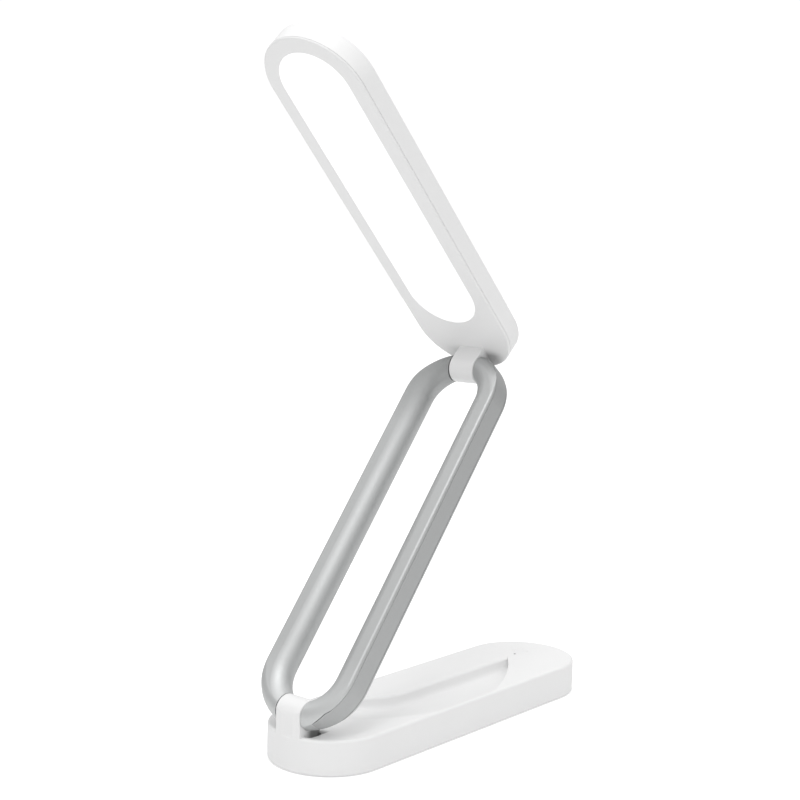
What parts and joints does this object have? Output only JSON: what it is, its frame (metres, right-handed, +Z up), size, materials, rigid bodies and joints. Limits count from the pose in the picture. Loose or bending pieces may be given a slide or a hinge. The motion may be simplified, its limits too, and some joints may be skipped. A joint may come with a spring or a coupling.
{
  "type": "folding desk lamp",
  "caption": "Z-folding desk lamp: flat base with a pen well, closed ring arm and slim lighting head on two horizontal friction hinges.",
  "frame": {"origin": "middle of the base's underside, on the face it rests on", "axes": "+X along the base from the hinge end to the far end, +Y across it to the side away from the pen well, +Z up; the head's lit face looks towards -X and down"},
  "size_m": [0.2, 0.055, 0.3136],
  "materials": {
    "white_shell": "satin, fine texture",
    "plate_grey": "fine spark texture",
    "pad_rubber": "matt",
    "screw_steel": "zinc plated",
    "cell_foil": "foil pouch",
    "ballast_iron": "as cut, blackened",
    "board_green": "solder mask",
    "black_plastic": "moulded",
    "socket_steel": "drawn, nickel plated",
    "key_white": "semi-gloss",
    "brass_part": "turned",
    "smoke_window": "tinted",
    "wire_red": "extruded sleeve",
    "rail_silver": "bead blasted, anodised",
    "cover_silver": "bead blasted, anodised",
    "pin_steel": "ground",
    "opal": "opal, lit from behind",
    "reflector_white": "white film",
    "board_alu": "white solder mask",
    "led_yellow": "phosphor"
  },
  "bodies": {
    "base": {"base_shell": "white_shell", "base_plate": "plate_grey", "grip_pad": "pad_rubber", "plate_screws": "screw_steel", "battery": "cell_foil", "counterweight": "ballast_iron", "control_board": "board_green", "board_parts": "black_plastic", "usb_socket": "socket_steel", "usb_tongue": "black_plastic", "touch_key": "key_white", "touch_spring": "brass_part", "status_window": "smoke_window", "base_wires": "wire_red", "lower_bush": "brass_part"},
    "arm": {"rail_right": "rail_silver", "rail_left": "rail_silver", "cover_right": "cover_silver", "cover_left": "cover_silver", "lower_pin": "pin_steel", "upper_pin": "pin_steel", "pin_screws": "screw_steel", "lower_washers": "black_plastic", "upper_washers": "black_plastic", "arm_wires": "wire_red"},
    "head": {"head_frame": "white_shell", "head_back": "white_shell", "diffuser": "opal", "reflector": "reflector_white", "led_board": "board_alu", "leds": "led_yellow", "led_screws": "screw_steel", "head_wires": "wire_red", "upper_bush": "brass_part"}
  },
  "joints": [
    {"name": "lower_hinge", "type": "hinge", "parent": "base", "child": "arm", "pos_m": [-0.0905, 0, 0.0243], "axis": [0, -1, 0], "range_deg": [-51.5, 43.5]},
    {"name": "upper_hinge", "type": "hinge", "parent": "arm", "child": "head", "pos_m": [0.02218, 0, 0.16595], "axis": [0, 1, 0], "range_deg": [-97.5, 2.5]}
  ]
}
